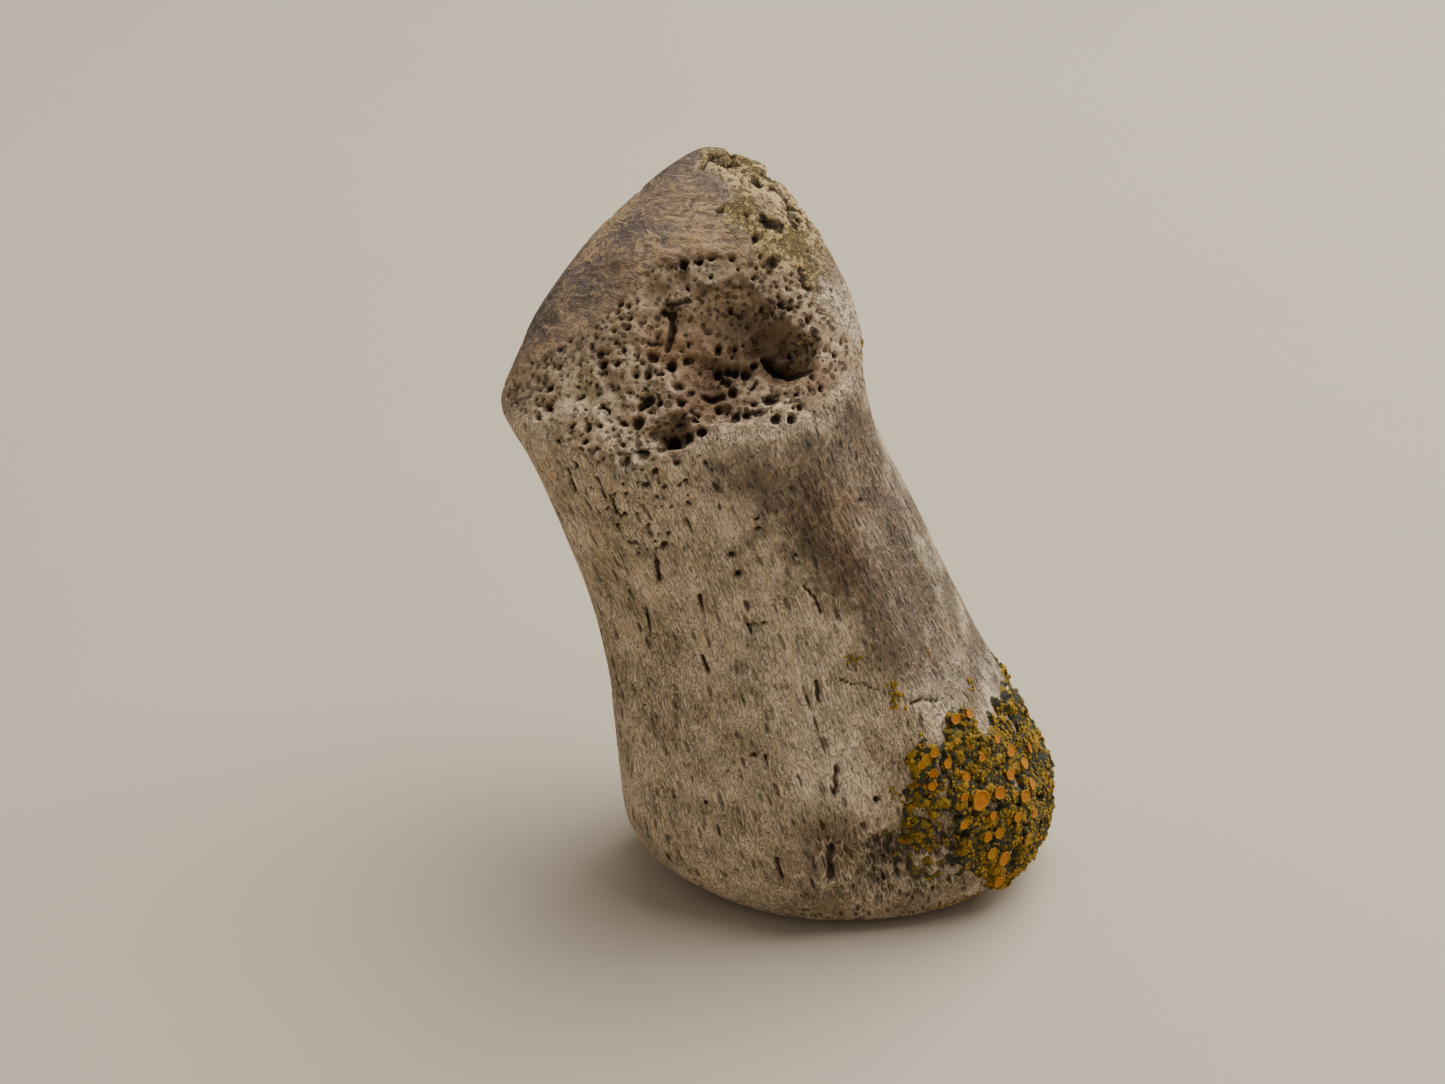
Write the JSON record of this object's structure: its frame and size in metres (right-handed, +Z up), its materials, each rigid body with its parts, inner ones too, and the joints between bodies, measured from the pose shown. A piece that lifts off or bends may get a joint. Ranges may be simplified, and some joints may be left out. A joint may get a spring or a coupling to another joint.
{
  "type": "fossil toe bone",
  "caption": "Weathered fossil toe bone that stands on its worn base, with a broken spongy joint face at the top and a crust of orange lichen low on one side.",
  "frame": {"origin": "middle of the bounding box in plan, at the level of the worn base", "axes": "+Z up, from the worn base to the crest of the joint end; -Y the side with the broken spongy face; +X the side with the lichen"},
  "size_m": [0.051, 0.0304, 0.068],
  "materials": {
    "weathered_bone": "dry, matte fossil bone, grey-tan with dark pores",
    "lichen_crust": "dry, granular lichen crust, orange on grey-green"
  },
  "bodies": {
    "root": {"toe_bone": "weathered_bone", "orange_lichen": "lichen_crust"}
  },
  "joints": []
}
